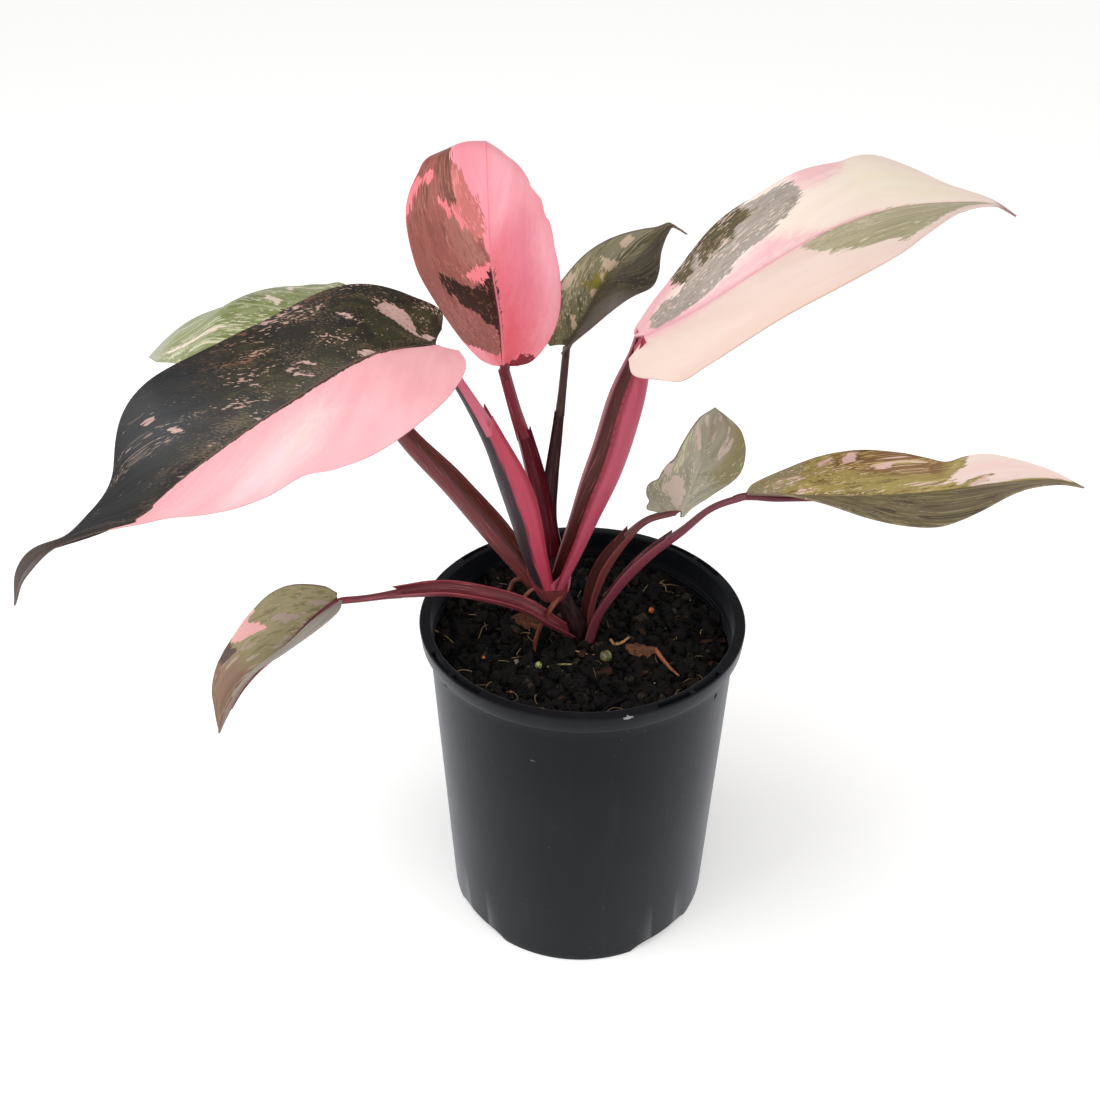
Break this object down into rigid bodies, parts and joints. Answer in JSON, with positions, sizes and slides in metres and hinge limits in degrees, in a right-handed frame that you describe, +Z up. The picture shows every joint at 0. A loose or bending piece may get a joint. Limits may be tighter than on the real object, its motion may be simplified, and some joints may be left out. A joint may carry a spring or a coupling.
{
  "type": "potted philodendron",
  "caption": "Variegated pink, cream and green heart-leaved philodendron on sheathed petioles in a round dark nursery pot, a decorative indoor plant.",
  "frame": {"origin": "centre of the underside of the pot, on the surface it stands on", "axes": "+Z up along the pot's axis; the two widest leaves reach out along -X and +X, and -Y is the side seen from the front"},
  "size_m": [0.3964, 0.1634, 0.3396],
  "materials": {
    "pot_plastic": "satin",
    "potting_mix": "matte",
    "stem": "satin",
    "petiole_a": "satin",
    "petiole_b": "satin",
    "petiole_c": "satin",
    "petiole_d": "satin",
    "petiole_e": "satin",
    "petiole_f": "satin",
    "petiole_g": "satin",
    "petiole_h": "satin",
    "blade_a": "satin",
    "blade_b": "satin",
    "blade_c": "satin",
    "blade_d": "satin",
    "blade_e": "satin",
    "blade_f": "satin",
    "blade_g": "satin",
    "blade_h": "satin",
    "root": "matte",
    "prill": "satin",
    "dry_leaf": "matte",
    "twig": "matte"
  },
  "bodies": {
    "root": {"pot": "pot_plastic", "potting_mix": "potting_mix", "main_stem": "stem", "petiole_a": "petiole_a", "petiole_b": "petiole_b", "petiole_c": "petiole_c", "petiole_d": "petiole_d", "petiole_e": "petiole_e", "petiole_f": "petiole_f", "petiole_g": "petiole_g", "petiole_h": "petiole_h", "leaf_blade_a": "blade_a", "leaf_blade_b": "blade_b", "leaf_blade_c": "blade_c", "leaf_blade_d": "blade_d", "leaf_blade_e": "blade_e", "leaf_blade_f": "blade_f", "leaf_blade_g": "blade_g", "leaf_blade_h": "blade_h", "aerial_root_1": "root", "aerial_root_2": "root", "aerial_root_3": "root", "prill_1": "prill", "prill_2": "prill", "prill_3": "prill", "prill_4": "prill", "dry_leaf_1": "dry_leaf", "dry_leaf_2": "dry_leaf", "twig_1": "twig", "twig_2": "twig"}
  },
  "joints": []
}
